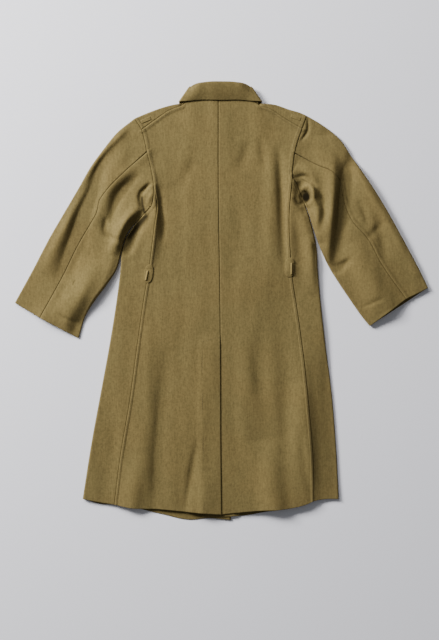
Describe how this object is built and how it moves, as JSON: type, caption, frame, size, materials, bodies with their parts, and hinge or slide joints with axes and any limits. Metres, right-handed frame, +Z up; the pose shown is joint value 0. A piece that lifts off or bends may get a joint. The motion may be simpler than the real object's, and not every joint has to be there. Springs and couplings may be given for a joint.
{
  "type": "military greatcoat",
  "caption": "Long heavy wool military greatcoat with turned-down collar, back vent and belt loops, laid flat on its front with sleeves spread.",
  "frame": {"origin": "middle of the outline, on the surface the coat lies on", "axes": "+Y from the hem to the collar, +Z up from the surface, +X across the coat to the wearer's right"},
  "size_m": [1.0348, 1.0952, 0.0213],
  "materials": {
    "wool": "heavy felted wool with a short worn nap",
    "horn": "satin horn-coloured button"
  },
  "bodies": {
    "root": {"back_left": "wool", "back_right": "wool", "front_left": "wool", "front_right": "wool", "topsleeve_left": "wool", "topsleeve_right": "wool", "undersleeve_left": "wool", "undersleeve_right": "wool", "collar_stand": "wool", "collar_fall": "wool", "belt_loop_left": "wool", "belt_loop_right": "wool", "shoulder_tab_left": "wool", "shoulder_tab_right": "wool", "button_1": "horn", "button_2": "horn", "button_3": "horn", "button_4": "horn", "button_5": "horn"}
  },
  "joints": []
}
